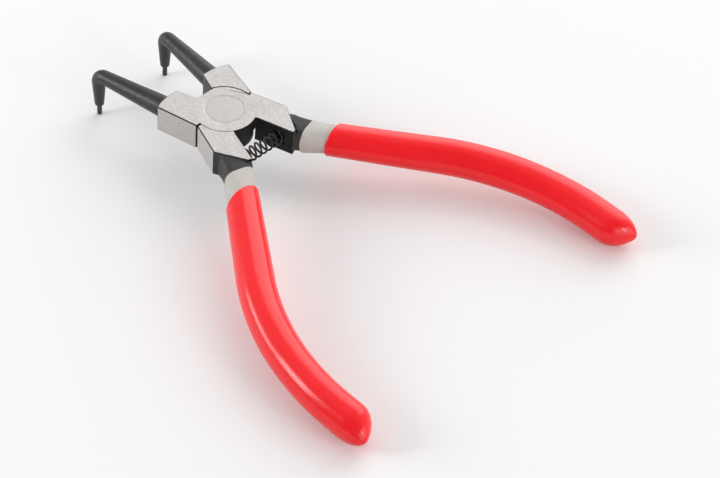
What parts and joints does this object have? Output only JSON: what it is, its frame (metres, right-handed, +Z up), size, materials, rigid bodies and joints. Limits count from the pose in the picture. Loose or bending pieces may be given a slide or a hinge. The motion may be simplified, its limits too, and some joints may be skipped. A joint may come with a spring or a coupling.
{
  "type": "circlip pliers",
  "caption": "Spring-opened internal circlip pliers with tip pins bent square to the jaws, a riveted lap joint and dipped handle grips.",
  "frame": {"origin": "pivot axis at the underside of the head", "axes": "+X to the jaw tips, +Y to the left seen from above, +Z up out of the head's top face; the tip pins point down, -Z"},
  "size_m": [0.164, 0.1226, 0.0245],
  "materials": {
    "forged_steel": "black oxide, with the head's faces and outer sides ground bright",
    "ground_steel": "ground flush, satin",
    "spring_wire": "black oxide wire",
    "tip_steel": "black oxide",
    "undercoat": "dipped soft plastic, dull",
    "grip": "dipped soft plastic, satin gloss"
  },
  "bodies": {
    "upper_half": {"upper_half": "forged_steel", "pivot_rivet": "ground_steel", "left_tip": "tip_steel", "right_undercoat": "undercoat", "right_grip": "grip", "return_spring": "spring_wire"},
    "lower_half": {"lower_half": "forged_steel", "right_tip": "tip_steel", "left_undercoat": "undercoat", "left_grip": "grip"}
  },
  "joints": [
    {"name": "pivot", "type": "hinge", "parent": "upper_half", "child": "lower_half", "pos_m": [0, 0, 0], "axis": [0, 0, 1], "range_deg": [0, 28], "stiffness_Nm_per_rad": 0.25, "springref_deg": -34.38, "deforming": ["return_spring"]}
  ]
}
